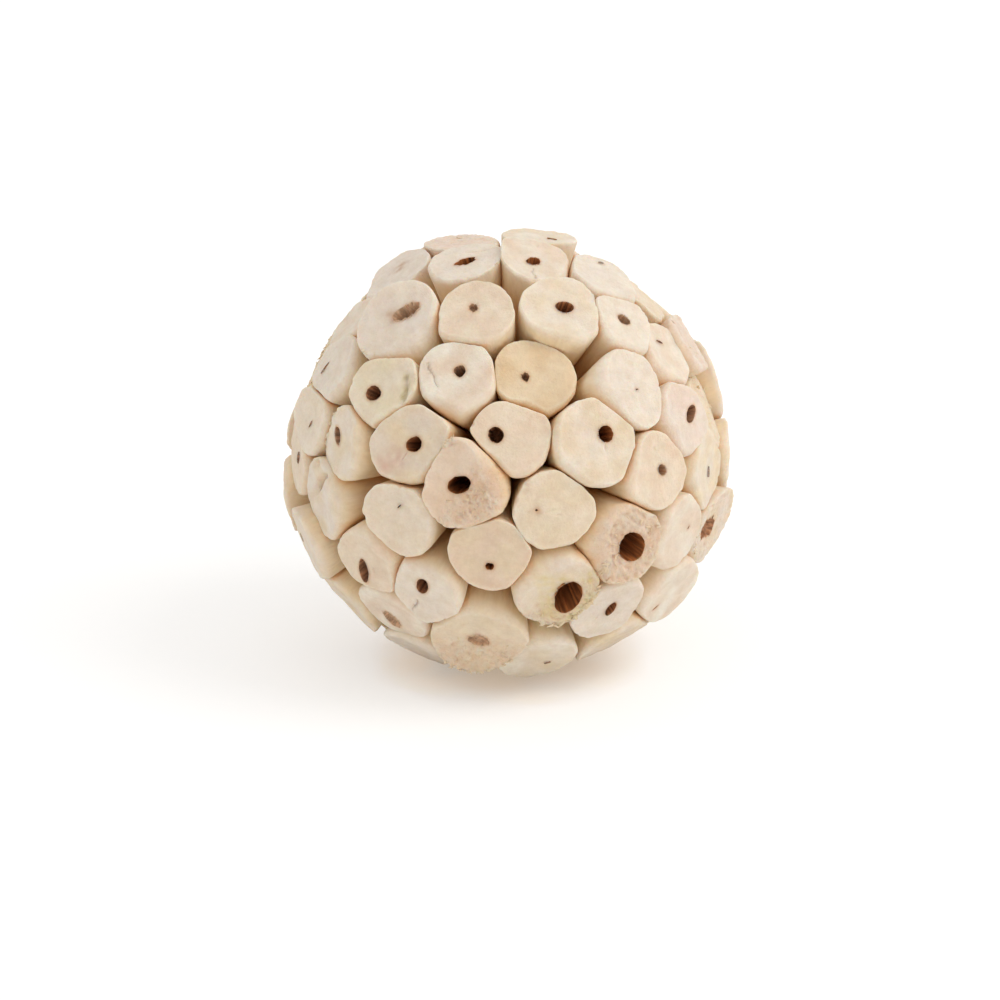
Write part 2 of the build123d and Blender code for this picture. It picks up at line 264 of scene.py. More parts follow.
looks = {
    1: own("blush", worn=(200, 1.5), rough=0.45, torn=(90, 60, 0.3)),
    2: own(
        "cool", mouth=(1.25, 0.7, 75), ragged=0.5, frayed=(60, 40, 8, 0.4),
        gouges=[(-1.5, 2.6, 65, 3.2, 0.3, 0.25), (2.4, -1, 100, 2.4, 0.5, 0.12)]),
    3: own(
        "ivory", worn=(270, 1), mouth=(1.05, 0.66, -5), ragged=0.2, cracks=[(-2, -1, -3.6, -3)],
        gouges=[(2.6, 2.2, 30, 0.6, 0.3, 0.25)]),
    4: own("ivory", slit=(-2, 0.5, 1.5, 0.4, -8), frayed=(90, 60, 8, 0.4)),
    5: own("cool", worn=(300, 0.8), stains=[(-1.5, 1, 1, "rust")]),
    6: own(
        "cool", worn=(-28, 3), mouth=(1.6, 0.48, 51), ragged=0.4, pale=1, plug=2, frayed=(240, 25, 6, 0.5),
        gouges=[(-1.6, -0.6, 60, 1.8, 0.3, 0.15)], stains=[(-1.6, 0.9, 0.9, "rust")]),
    7: own(
        "cream", worn=(270, 0.7), mouth=(1.1, 0.8, 138), ragged=1, pale=0.9, plug=0.8,
        gouges=[(0.8, -2.2, 80, 1.2, 0.3, 0.14), (-1.9, -1.8, 70, 1.5, 0.3, 0.12)]),
    8: own(
        "ivory", worn=(250, 1.2), mouth=(1.05, 0.74, -10), ragged=0.05, pale=0.15, torn=(16, 10, 0.5),
        gouges=[(2.3, 2.3, 150, 1.4, 0.3, 0.2)], stains=[(1.4, -0.9, 1.2, "blush")]),
    9: own("ivory", worn=(225, 1.4), slit=(3.8, 1.3, 0.9, 0.3, -45)),
    10: own("cream", rough=0.3),
    11: own("ivory", worn=(0, 1.2)),
    12: own("warm", mouth=(1.3, 0.9, 0), ragged=0.45, rough=0.8, frayed=(200, 60, 8, 0.5)),
    13: own("ivory", worn=(0, 1.4), slit=(-1.9, -0.9, 2, 0.4, 75)),
    14: own(
        "straw", worn=(280, 1.1), mouth=(1.35, 0.8, 0), ragged=0.15, pale=0.25, frayed=(20, 20, 6, 0.5),
        gouges=[(3.5, 1.4, 115, 3, 0.5, 0.55), (4, -0.2, 95, 2.2, 0.5, 0.55)],
        stains=[(3.2, 2.2, 0.55, "moss"), (3.6, 1.4, 0.6, "moss"), (3.9, 0.5, 0.6, "moss"),
            (4, -0.4, 0.55, "moss")]),
    15: own(
        "bleached", worn=(270, 2.8), mouth=(1.08, 0.92, 146), ragged=0.05, pale=0.8, plug=4,
        cracks=[(-4.3, 2.1, -3.9, 0.9), (-3.9, 0.9, -3.2, -0.1), (-3.2, -0.1, -2.5, -1.2)]),
    16: own(
        "tan", worn=(270, 1), mouth=(0.95, 0.9, 73), ragged=0.8, pale=0.7, plug=1.5, torn=(95, 40, 0.15),
        gouges=[(2.6, -0.6, 80, 0.7, 0.3, 0.12)]),
    17: own(
        "ivory", worn=(182, 3.4), slit=(1.4, -0.3, 0.45, 0.15, 0),
        gouges=[(0.3, 0.6, 80, 3.4, 1, 0.18), (1.3, -2.2, 80, 3, 0.9, 0.14)]),
    18: own("ivory", worn=(215, 1.4), mouth=(1.15, 0.8, 153), ragged=0.1, pale=0.9, plug=2.2),
    19: own("ivory", worn=(210, 2.2), slit=(0.4, 1.9, 1.3, 0.3, -40)),
    20: own("cream", rough=0.3),
    21: own("blush", worn=(190, 1.2), rough=0.5, cracks=[(-1, 2, -2, 4)]),
    22: own("cream", worn=(0, 0.8), slit=(0.5, -0.5, 1.1, 0.22, 70)),
    23: own("cream", worn=(0, 0.8), mouth=(1.5, 0.6, 40), ragged=0.15, pale=0.3),
    24: own(
        "ivory", worn=(0, 2.4), mouth=(1.18, 0.6, 132), ragged=0.25, pale=0.8, torn=(170, 50, 0.4),
        frayed=(165, 50, 16, 0.6)),
    25: own(
        "warm", worn=(290, 1.1), mouth=(1.25, 0.85, 31), ragged=0.15, pale=0.1,
        gouges=[(-0.7, -1.4, 65, 1.8, 0.22, 0.22), (2.8, 1.6, 60, 0.5, 0.3, 0.2)],
        stains=[(-1.7, -1.6, 1.7, "rose"), (-3.4, -3, 1.3, "rose")]),
    26: own(
        "rosy", worn=(0, 2.8), mouth=(1.1, 0.75, 21), ragged=0.12, rough=0.9, rough_side=-40,
        torn=(112, 13, 0.5), frayed=(114, 14, 10, 0.6)),
    27: own("cream", worn=(280, 1.2), mouth=(1.2, 0.93, 111), ragged=0.1, pale=0.25, plug=5),
    28: own(
        "ivory", worn=(215, 1.4), mouth=(1.18, 0.96, 110), ragged=0.15,
        gouges=[(1.3, -0.8, 90, 1, 0.3, 0.3)], stains=[(-1.8, 1.8, 1.4, "blush")]),
    29: own(
        "blush", worn=(190, 2.8), mouth=(1.35, 0.55, 30), ragged=0.1, pale=0.5,
        gouges=[(-1.7, 2.7, 90, 0.9, 0.2, 0.25)]),
    30: own("warm", worn=(200, 1.4), rough=0.5, frayed=(350, 60, 8, 0.5)),
    31: own(
        "cream", worn=(185, 1.4), mouth=(1.1, 0.78, 140), ragged=0.1, pale=0.9,
        gouges=[(0.2, 3, 100, 0.9, 0.4, 0.2)]),
    32: own(
        "cream", slit=(-2.2, 0.4, 0.32, 0.28, 0), torn=(135, 14, 0.35),
        gouges=[(-0.2, 0.2, 30, 0.8, 0.3, 0.2), (0.7, -0.4, 120, 0.5, 0.3, 0.2)],
        stains=[(-2.2, 0.4, 0.7, "rust"), (0, 0, 0.8, "straw"), (-0.8, -1.8, 0.6, "straw")]),
    33: own("warm", worn=(185, 1.8), slit=(1, -0.8, 1.5, 0.25, 88)),
    34: own("cream", worn=(180, 0.8), slit=(0.5, 0, 2.2, 0.4, 80)),
    35: own("cream", worn=(90, 2.4)),
    36: own(
        "cool", worn=(5, 3), torn=(120, 12, 1), cracks=[(-3.1, -0.2, 0.2, 2.9)],
        gouges=[(-1.5, 1.3, 43, 4.6, 0.9, 1.6), (0.6, 3.2, 20, 1.6, 0.6, 0.7)],
        stains=[(-2.2, 0.6, 0.6, "rust"), (-1.5, 1.6, 0.6, "rose")]),
    37: own("cream", worn=(0, 1.4), slit=(-4, -0.4, 1.4, 0.25, 85)),
    38: own(
        "cream", worn=(330, 0.8), slit=(0, 1.6, 0.7, 0.12, 48), gouges=[(-0.4, -1.6, 170, 4, 0.4, 0.08)]),
    39: own(
        "cream", worn=(50, 2.8), mouth=(1.75, 0.42, 82), ragged=0.05, pale=0.4,
        gouges=[(0.1, -1.6, 80, 0.9, 0.3, 0.25)]),
    40: own("rosy", worn=(270, 0.6), mouth=(0.95, 0.9, 0), ragged=0.25),
    41: own(
        "ivory", worn=(60, 2.4), mouth=(1.6, 0.6, 69), ragged=0.05, pale=0.3,
        cracks=[(-1.3, -1.6, -2.6, -3.4)]),
    42: own(
        "rosy", worn=(172, 3.2), mouth=(1.26, 0.82, 120), ragged=0.05, rough=0.8, torn=(232, 16, 0.45),
        frayed=(232, 16, 14, 1.5), stains=[(0.8, 0, 2.5, "rose")]),
    43: own("ivory", worn=(190, 2.8), slit=(2.5, 0.2, 0.5, 0.16, 60)),
    44: own(
        "cool", worn=(200, 1.2), mouth=(2.2, 0.75, 161), ragged=0.8, pale=0.4, plug=0.9, rough=0.4,
        frayed=(200, 70, 12, 0.5), gouges=[(-2.4, 4, 0, 0.5, 0.4, 0.4)]),
    45: own(
        "cream", worn=(135, 3.2), mouth=(1.5, 0.74, 84), ragged=0.12, rough=0.8, rough_side=-60,
        torn=(-60, 60, 0.35), frayed=(-42, 52, 50, 1.05),
        stains=[(2.5, -5, 1.7, "yellow"), (-0.6, -3.4, 1.4, "yellow"), (4.8, -2.4, 1.6, "yellow"),
            (4.6, 1.6, 1.6, "yellow"), (0.6, 1.4, 1.2, "yellow"), (-0.6, -0.8, 1.5, "yellow"),
            (-1.8, 1.6, 1.2, "yellow")]),
    46: own("warm", worn=(30, 1.6)),
    47: own("bleached", worn=(50, 2), mouth=(1.3, 0.7, 112), ragged=0.4, pale=1, plug=0.6),
    48: own(
        "cream", worn=(90, 1.6), mouth=(1.25, 0.62, 172), ragged=0.45, pale=0.8, plug=0.5, rough=0.8,
        rough_side=-90, torn=(270, 60, 0.2), frayed=(265, 55, 30, 0.5),
        stains=[(-1.6, 0.6, 1, "straw"), (0.2, 0, 0.9, "rose")]),
    49: own("ivory", worn=(45, 1.2)),
    50: own(
        "cool", worn=(90, 0.9), mouth=(1.5, 0.52, 87), ragged=0.05, pale=0.1,
        gouges=[(-1.2, -1.3, 30, 0.5, 0.2, 0.3)]),
    51: own("bleached", worn=(150, 1.6), slit=(-1.4, -2.1, 1.1, 0.28, 45)),
    52: own("bleached", worn=(100, 1.6), slit=(1.7, -1.9, 0.9, 0.22, 22)),
    53: own("warm", worn=(120, 1.2)),
}
print(len(looks), "stems have a look of their own")

# %% By turns for the rest
turn_tints = ["cream", "ivory", "warm", "cool", "cream", "tan", "ivory", "rosy", "straw"]


def look_of(name, number):
    """The look of a stem: its own, or one taken by turns."""
    if name.startswith("peg_"):
        return looks[int(name[4:])]
    slant = (number * 71) % 180
    return own(
        turn_tints[number % len(turn_tints)],
        edge=[0.12, 0.2, 0.15, 0.3][number % 4],
        worn=((number * 137) % 360, [0.4, 1.6, 0.7, 2.6, 0.5][number % 5]),
        mouth=(1, [0.9, 0.6, 0.8][number % 3], slant),
        ragged=[0.1, 0.3, 0.15, 0.6][number % 4],
        pale=[0, 0.5, 0.2][number % 3],
        slit=(number % 5 / 2 - 1, number % 3 - 1, 0.5 + number % 4 / 3, 0.25, slant) if number % 2 else None,
        rough=[0.1, 0.4, 0.15, 0.9, 0.2][number % 5],
        frayed=((number * 97) % 360, 40, 8, 0.5) if number % 4 == 1 else None,
        cracks=[(-1.2, 0.8, -2.2, -1.0)] if number % 6 == 2 else [],
        gouges=[(1.5, -1.5, (number * 53) % 180, 1.4, 0.4, 0.25)] if number % 5 == 3 else [],
        stains=[(-1.5, 1.5, 1.6, "rose")] if number % 7 == 4 else [])


# %% [markdown]
# ## The rings of one stem
#
# The surface of a stem is one sheet, like a sock pulled over it: it starts at the
# floor of the pith channel, climbs the channel's wall, spreads over the cut, turns
# over the rim and runs down the outer wall to the butt. The sheet is a stack of
# rings with the same number of points in each, so it is enough to say where each
# ring lies.

# %% The pith channel
CHANNEL, CUT, RIM, WALL = range(4)
open_depth, slit_depth = 9, 1.6    # mm
channel_steps = [1, 0.8, 0.62, 0.46, 0.32, 0.2, 0.1, 0.04, 0.01, 0]    # from floor to mouth


def flat_axes(stem):
    """Two directions that lie in the cut: to the right and up."""
    right = unit(stem.east - stem.cut_way * (stem.east @ stem.cut_way))
    return right, np.cross(stem.cut_way, right)


def channel_rings(stem, look, angles, seed):
    """The channel from its floor to its mouth, and the mouth's middle. None if closed."""
    right, up = flat_axes(stem)
    if stem.bore_radius > 0:
        mouth = stem.bore_way * (stem.level / (stem.bore_way @ stem.cut_way))
        stretch, squeeze, slant = look.mouth
        long = stem.bore_radius * stretch
        wide, depth = long * squeeze, look.plug or open_depth
    elif look.slit:
        east, north, length, width, slant = look.slit
        mouth = stem.top + right * east + up * north
        long, wide, depth = length / 2, width / 2, slit_depth
    else:
        return [], stem.top
    turn = np.radians(angles)
    slanted = turn - np.radians(slant)
    radius = long * wide / np.hypot(wide * np.cos(slanted), long * np.sin(slanted))
    ways = right * np.cos(turn)[:, None] + up * np.sin(turn)[:, None]
    bulges = 0.05 * wander(ways * 2, 3.0, seed + 1)
    chips = look.ragged * 0.16 * wander(ways * 2, 1.0, seed + 2)
    rings = []
    for down in channel_steps:
        ribs = 0.07 * wander(ways * 3 - stem.bore_way * down, 0.9, seed + 3)
        widen = 1 + bulges + chips * (1 - down) + ribs * min(1, 12 * down) - 0.2 * down
        rings.append(mouth - stem.bore_way * depth * down + ways * (radius * widen)[:, None])
    return rings, mouth


# %% [markdown]
# ## The cut's relief
#
# A knife does not leave a plane. It leaves a slow wave, the pith shrinks a little
# round its channel, crumbly pith comes away in small bits, and a blunt stroke leaves
# a gouge.

# %% Relief of the cut
dip_depth, dip_radius = 0.12, 2.0    # mm, where the pith shrank round its channel


def on_cut(stem, points):
    """Where points lie on the cut, in millimetres to the right and up."""
    right, up = flat_axes(stem)
    return (points - stem.top) @ right, (points - stem.top) @ up


def crumbling(stem, look, points):
    """How crumbly the cut is at each point, from 0 to 1."""
    if look.rough_side is None:
        return np.full(points.shape[:-1], look.rough)
    east, north = on_cut(stem, points)
    side = np.radians(look.rough_side)
    return look.rough * (0.15 + 0.85 * smooth_step(east * np.cos(side) + north * np.sin(side), -1.5, 2.5))


def relief(stem, look, points, mouth, seed):
    """How far the real cut lies above or below the flat one, in millimetres."""
    height = 0.10 * wander(points, 6.5, seed + 3) + 0.045 * wander(points, 2.6, seed + 4)
    height -= dip_depth * near(points, mouth, dip_radius)
    crumbs = 0.09 * wander(points, 1.1, seed + 5) + 0.08 * wander(points, 0.6, seed + 6)
    pits = np.clip(wander(points, 0.7, seed + 7) - 0.6, 0, 1)
    height += crumbling(stem, look, points) * (crumbs - 0.25 * pits)
    right_of, above = on_cut(stem, points)
    for east, north, turn, length, width, depth in look.gouges:
        turn = np.radians(turn)
        across, along = right_of - east, above - north
        far = np.hypot((across * np.cos(turn) + along * np.sin(turn)) / length,
                       (along * np.cos(turn) - across * np.sin(turn)) / width)
        height -= depth * np.exp(-((2 * far) ** 2))
    return height


# %% [markdown]
# ## Rim and wall
#
# Below its edge a stem swells out to its full width and then narrows all the way to
# the butt. A circle's arc makes both kinds of rim: an arc that starts steeply leaves
# a crisp edge, and a wide arc that starts level leaves a worn shoulder.

# %% Shape of a rim
swelling = 0.06    # mm that a wall stands out into the glue line
rim_drop = 0.30    # mm from the cut down to the full width, at a crisp rim
worn_spread = 62    # degrees on either side of the worn place
steep_start = 50    # degrees at which the arc of a crisp rim starts
Rim = namedtuple("Rim", "outward lines inset drop start torn")


def rim_of(stem, look, angles, seed):
    """Where the wall runs and how the rim bends and tears, on each spoke."""
    turn = np.radians(angles)
    outward = stem.east * np.cos(turn)[:, None] + stem.north * np.sin(turn)[:, None]
    lines = stem.way + outward * spoke_lengths(stem, angles)[:, None]
    at_rim = lines * stem.level
    uneven = 0.13 * wander(at_rim, 8.4, seed + 8) + 0.03 * wander(at_rim, 2.2, seed + 18)
    lines = lines + outward * ((uneven + swelling) / stem.level)[:, None]
    worn_side, worn_in = look.worn
    softness = worn_in * near_angle(angles, worn_side, worn_spread)
    chips = (0.4 + look.rough) * np.clip(wander(at_rim, 1.0, seed + 9), 0, 1.5)
    chips += 2 * np.clip(wander(at_rim, 1.7, seed + 19) - 0.95, 0, 1)
    torn = np.zeros(len(angles))
    if look.torn:
        side, spread, depth = look.torn
        torn = near_angle(angles, side, spread) * depth
    return Rim(outward, lines, inset=look.edge * (0.7 + 1.1 * chips) + softness,
               drop=rim_drop + 0.2 * chips + 1.1 * softness,
               start=np.radians(steep_start * (1 - np.clip(softness, 0, 1))), torn=torn)


def rim_ring(stem, rim, share):
    """A ring on the rim's arc, at a share of the way from its start to a quarter turn."""
    bend = rim.start + (np.pi / 2 - rim.start) * share
    below = rim.drop * (np.cos(rim.start) - np.cos(bend)) / np.cos(rim.start)
    inward = rim.inset * (1 - np.sin(bend)) / (1 - np.sin(rim.start))
    ring = rim.lines * ((stem.level - below) / (rim.lines @ stem.cut_way))[:, None]
    return ring - unit(ring - stem.top) * inward[:, None]


# %% All the rings
rim_steps = [0, 0.08, 0.2, 0.38, 0.6, 0.8, 1]
wall_steps = np.linspace(0, 1, 12)[1:] ** 1.3


def stem_rings(stem, look, spoke_count, cut_count, seed):
    """Every ring of a stem, and the part of the stem that each belongs to."""
    angles = np.arange(spoke_count) * 360 / spoke_count
    rim = rim_of(stem, look, angles, seed)
    rings, mouth = channel_rings(stem, look, angles, seed)
    zones = [CHANNEL] * len(rings)

    def lay(ring, zone, relief_share, tear_share):
        """Add a ring, shaped by the cut's relief and lowered where the rim is torn."""
        tear = rim.torn * (0.7 + 0.5 * wander(ring, 0.9, seed + 10))
        height = relief(stem, look, ring, mouth, seed) * relief_share - tear * tear_share
        rings.append(ring + stem.cut_way * height[:, None])
        zones.append(zone)

    edge = rim_ring(stem, rim, 0)
    inner = rings[-1] if rings else stem.top + (edge - stem.top) * 0.02
    for share in [0.004, 0.015, *np.linspace(0.04, 0.97, cut_count), 0.99]:
        lay(inner + (edge - inner) * share, CUT, 1, smooth_step(share, 0.6, 1.0))
    for share in rim_steps:
        lay(rim_ring(stem, rim, share), RIM, 1 - share, 1 - 0.6 * share)
    upper, lower = rings[-1], rim.lines * butt_distance
    for share in wall_steps:
        ring = upper + (lower - upper) * share
        across = ring - stem.way * (0.9 * (ring @ stem.way))[:, None]
        fibre = 0.045 * wander(across, 1.3, seed + 11) + 0.12 * wander(ring, 8, seed + 12)
        rings.append(ring + rim.outward * (fibre * min(1, 5 * share) * (1 - share))[:, None])
        zones.append(WALL)
    rings = np.array(rings)
    for crack in look.cracks:
        open_crack(stem, rings, crack, seed)
    return rings, np.array(zones)


# %% [markdown]
# ## Drying cracks
#
# A crack is narrower than the spaces between the rings. So the nearest points are
# pulled onto the line of the crack and sunk, and those beside them are pulled close
# to it. That leaves a thin, slightly broken groove, as a drying crack is.

# %% Cracks
far_off = 9.0    # mm, for what has nothing near it
groove, lips, lip_gap, groove_depth = 0.15, 0.33, 0.07, 0.16    # mm


def beside_crack(stem, points, crack, seed):
    """Distance from a crack's line, and the way to it. Far away beyond its ends."""
    right, up = flat_axes(stem)
    offset = points - stem.top
    start, end = np.array(crack[:2]), np.array(crack[2:])
    along = unit(end - start)
    across = right * -along[1] + up * along[0]
    run = offset @ (right * along[0] + up * along[1]) - start @ along
    away = offset @ across - (start @ np.array([-along[1], along[0]]))
    away = away + 0.10 * wander(points, 1.6, seed + 13)
    outside = (run < 0) | (run > np.linalg.norm(end - start)) | (offset @ stem.cut_way < -0.8)
    return np.where(outside, far_off, away), across


def open_crack(stem, rings, crack, seed):
    """Draw the nearest points of the rings together along a crack, and sink them."""
    away, across = beside_crack(stem, rings, crack, seed)
    on_line = np.abs(away) < groove
    beside = (np.abs(away) < lips) & ~on_line
    pull = np.where(on_line, -away, np.where(beside, lip_gap * np.sign(away) - away, 0))
    rings += pull[..., None] * across - (groove_depth * on_line)[..., None] * stem.cut_way


# %% [markdown]
# ## Where neighbours press
#
# Where two stems touch, the pith is painted browner: painted shade of the narrow gap
# between them. Every wall of the model lies in a plane through the ball's middle. So
# the distance of a point outside a neighbour is the largest of its distances from
# that neighbour's wall planes.

# %% Gaps between stems
same_side = 0.75    # cosine of the widest angle between two stems that may touch
rises_past = 0.4    # mm that a neighbour may end below a point and still press there


def wall_planes(stem):
    """The outward direction of each wall of a stem."""
    corners = stem.way + stem.outline @ np.stack([stem.east, stem.north])
    after = np.roll(corners, -1, axis=0)
    planes = unit(np.cross(after, corners))
    return planes[np.linalg.norm(after - corners, axis=1) > 0.01]


neighbours = [(stem, wall_planes(stem)) for found in stems.values() for stem in found]


def gap_beside(stem, points):
    """How far each point is from the nearest stem that rises past it, in millimetres."""
    gap = np.full(points.shape[:-1], far_off)
    for other, planes in neighbours:
        if other is stem or other.way @ stem.way < same_side:
            continue
        outside = np.maximum((points @ planes.T).max(-1), 0)
        above = np.maximum(points @ other.cut_way - other.level + rises_past, 0)
        gap = np.minimum(gap, outside + 2 * above)
    return gap


# %% [markdown]
# ## Colour
#
# Peeled pith is cream, but no two stems are the same cream. Each has its tint, in
# clouds a few millimetres wide. Just below the rim the wall turns tan, partly its own
# peeled colour and partly painted warm bounce light. The deeper the wall lies, the
# tanner it is painted: painted shade of the gaps between stems. Where a neighbour
# presses it is painted browner still, as painted contact shade. The pith round a
# channel's mouth has a thin orange-brown halo, the cut's edge carries a pale painted
# highlight, and a crack's line is painted darker as painted shade in its groove. All
# of that is painted on the mesh's corners, one layer over another, each with its
# share of the colour.

# %% Colours of the pith
def linear(code):
    """A colour written as sRGB hex, as the linear numbers that Blender works with."""
    parts = np.array([int(code[place:place + 2], 16) / 255 for place in (1, 3, 5)])
    return np.where(parts <= 0.04045, parts / 12.92, ((parts + 0.055) / 1.055) ** 2.4)


tints = {
    "cream": "#EFE0CA", "ivory": "#F0E4D3", "cool": "#ECE0D2", "warm": "#ECDABD", "tan": "#E9D1AE",
    "rosy": "#EBD5BE", "blush": "#EDDACB", "straw": "#EFE2C6", "bleached": "#F5ECDD",
}
# Among these marks: the pale edge colour is a painted highlight; the tan of walls lying deep and of walls
# touching a neighbour is painted shade and warm bounce light; the peel colour is partly the wall's own tan
# and partly painted bounce light; the crack colour is painted shade in a crack's groove.
marks = {
    "edge": "#F8EFE2", "peel": "#EED5A8", "painted_gap_shade": "#ECB46C", "painted_contact_shade": "#E6AD70", "crumb": "#EBC49E",
    "rose": "#DFBDAA", "yellow": "#E8D59C", "moss": "#B5A266", "rust": "#B98A60", "halo": "#D9A478",
    "crack": "#9A6C44",
}
pith = {name: linear(code) for name, code in {**tints, **marks}.items()}
channel_dark, channel_pale = linear("#9C5E32"), linear("#CBA888")
print(len(tints), "tints of pith and", len(marks), "colours of its marks")


# %% Painting a stem
def blend(colours, other, share):
    """Colours moved toward another by a share at each point."""
    share = np.clip(share, 0, 1)[..., None]
    return colours * (1 - share) + other * share


def paint(stem, look, rings, zones, seed):
    """The colour at each point of the rings."""
    colours = np.tile(pith[look.tint], (*rings.shape[:2], 1))
    second = pith[["warm", "cool", "ivory", "rosy"][seed // 100 % 4]]
    colours = blend(colours, second, 0.5 + 0.5 * wander(rings, 4.5, seed + 14))
    colours = blend(colours, pith[look.tint], 0.25)
    crumbly = crumbling(stem, look, rings) * (zones[:, None] < WALL)
    patches = 0.8 + 0.5 * wander(rings, 1.4, seed + 15)
    colours = blend(colours, pith["crumb"], 0.4 * crumbly * patches)
    right, up = flat_axes(stem)
    for east, north, radius, colour in look.stains:
        cloud = near(rings, stem.top + right * east + up * north, radius)
        cloud = cloud * (0.75 + 0.35 * wander(rings, 1.2, seed + 16))
        colours = blend(colours, pith[colour], 0.8 * cloud)
    if CHANNEL in zones:
        lining_rings = rings[zones == CHANNEL]
        halo = near(rings, lining_rings[-1], 0.28) * (zones[:, None] > CHANNEL)
        colours = blend(colours, pith["halo"], 0.55 * halo)
        inside = channel_dark + (channel_pale - channel_dark) * look.pale
        across = lining_rings - stem.bore_way * (lining_rings @ stem.bore_way)[..., None]
        ribs = 1 + (0.4 - 0.25 * look.pale) * wander(across, 0.5, seed + 20)
        colours[zones == CHANNEL] = inside * np.clip(ribs, 0.3, 1.7)[..., None]
    # painted shade: a crack's line is painted darker, for the shade in its groove
    for crack in look.cracks:
        away, _ = beside_crack(stem, rings, crack, seed)
        colours = blend(colours, pith["crack"], 0.3 * (np.abs(away) < 0.05))
    # painted highlight: a pale line along the cut's edge
    colours = blend(colours, pith["edge"], 0.2 * near(rings, rings[zones == RIM][0], 0.25))
    below = (stem.level - rings @ stem.cut_way) * (zones[:, None] >= RIM)
    # partly the peeled wall's own tan, partly painted warm bounce light just below the rim
    colours = blend(colours, pith["peel"], 0.5 * smooth_step(below, 0.1, 1.5))
    # painted shade: the wall is painted tanner the deeper it lies below the cut, for the shade and warm
    # bounce light in the gaps between stems
    colours = blend(colours, pith["painted_gap_shade"], 0.75 * smooth_step(below, 1.2, 9))
    # painted contact shade: browner where another stem is within about a millimetre
    painted_contact_shade = smooth_step(gap_beside(stem, rings), 0.9, 0.2) * smooth_step(below, 0.05, 0.5)
    return blend(colours, pith["painted_contact_shade"], 0.5 * painted_contact_shade)


# %% [markdown]
# ## Loose fibres and flakes
#
# Where the knife tore the pith instead of cutting it, short fibres stand off the rim
# and small flakes lie on the crumbly part of the cut. Each is a thin blade of four
# cross-sections that bends as it tapers.

# %% Fibres and flakes
blade_steps = [-0.3, 0.2, 0.6, 1.0]    # from a little behind the root to the tip
most_flakes = 70    # on a stem for each whole step of roughness
smooth_enough = 0.4    # roughness up to which a cut sheds no flakes


def blade(root, aim, curl, length, width, thickness):
    """Four-cornered rings of one thin blade."""
    side = unit(np.cross(aim, curl))
    lift = np.cross(side, aim)
    sections = []
    for share in blade_steps:
        place = root + (aim * share + curl * 0.5 * share * abs(share)) * length
        taper = 1 - 0.6 * max(share, 0)
        wide, thin = side * width * taper, lift * thickness * taper
        sections.append([place - wide - thin, place + wide - thin,
                         place + wide + thin, place - wide + thin])
    return np.array(sections)


def loose_blades(stem, look, rings, zones, colours, seed):
    """Pairs of rings and a colour, one for each fibre at the rim and each flake on the cut."""
    chance = np.random.default_rng(seed + 17)
    blades = []
    edge, edge_colours = rings[zones == RIM][0], colours[zones == RIM][0]
    degrees, spread, count, longest = look.frayed or (0, 0, 0, 0)
    for _ in range(count):
        spoke = int(round((degrees + chance.normal() * spread / 2) / 360 * len(edge))) % len(edge)
        out = unit(edge[spoke] - stem.top)
        along = np.cross(stem.cut_way, out)
        aim = unit(out * chance.uniform(0.1, 0.6) + stem.cut_way * chance.uniform(-0.6, 0.2)
                   + along * chance.normal() * 0.6)
        curl = stem.cut_way * chance.uniform(-0.7, 0.3) + along * chance.normal() * 0.3
        fibre = blade(edge[spoke], aim, curl, length=longest * chance.uniform(0.3, 1),
                      width=longest * chance.uniform(0.1, 0.45), thickness=chance.uniform(0.03, 0.06))
        blades.append((fibre, edge_colours[spoke]))
    cut, cut_colours = rings[zones == CUT], colours[zones == CUT]
    for _ in range(int(most_flakes * max(look.rough - smooth_enough, 0))):
        row, spoke = chance.integers(len(cut) // 3, len(cut)), chance.integers(len(edge))
        root = cut[row, spoke]
        if crumbling(stem, look, root) < chance.uniform(0.2, 1):
            continue
        around = unit(chance.normal(size=3))
        along = unit(np.cross(stem.cut_way, around))
        aim = unit(along + stem.cut_way * chance.uniform(0.05, 0.5))
        curl = stem.cut_way * chance.uniform(-0.6, 0.6) + np.cross(along, stem.cut_way) * 0.2
        flake = blade(root, aim, curl, length=chance.uniform(0.2, 0.7),
                      width=chance.uniform(0.08, 0.25), thickness=chance.uniform(0.03, 0.07))
        blades.append((flake, cut_colours[row, spoke]))
    return [(sections, blend(colour, pith["peel"], np.array(0.45))) for sections, colour in blades]


# %% [markdown]
# ## From rings to a mesh
#
# Neighbouring rings are joined with four-cornered faces, and the first and last ring
# are closed with a fan. Each corner keeps what the materials need: its colour, its
# place along and across its own stem in millimetres, so that the grain follows the
# stem wherever it points, how much it belongs to the wall and how crumbly it is.

# %% Sheets and meshes
def join_rings(rings, start):
    """Points and faces of a stack of rings, closed at both ends, numbered from start."""
    rows, around = rings.shape[:2]
    index = start + np.arange(rows * around).reshape(rows, around)
    beside = np.roll(index, -1, axis=1)
    quads = np.stack([index[:-1], index[1:], beside[1:], beside[:-1]], axis=-1).reshape(-1, 4)
    first, last = start + rows * around, start + rows * around + 1
    faces = quads.tolist()
    faces += [[index[0, spoke], beside[0, spoke], first] for spoke in range(around)]
    faces += [[beside[-1, spoke], index[-1, spoke], last] for spoke in range(around)]
    points = np.concatenate([rings.reshape(-1, 3), [rings[0].mean(0), rings[-1].mean(0)]])
    return points, faces


def per_point(values):
    """A value for each point of a stack of rings, with those of its two ends."""
    flat = values.reshape(-1, *values.shape[2:])
    return np.concatenate([flat, values[0, :1], values[-1, :1]])


def new_object(object_name, data):
    """A new object in the scene."""
    thing = bpy.data.objects.new(object_name, data)
    bpy.context.scene.collection.objects.link(thing)
    return thing


# %% One piece
def keep(mesh, attribute_name, kind, field, values):
    """Store values on the mesh's points."""
    attribute = mesh.attributes.new(attribute_name, kind, "POINT")
    attribute.data.foreach_set(field, np.ascontiguousarray(values, dtype=np.float32).ravel())


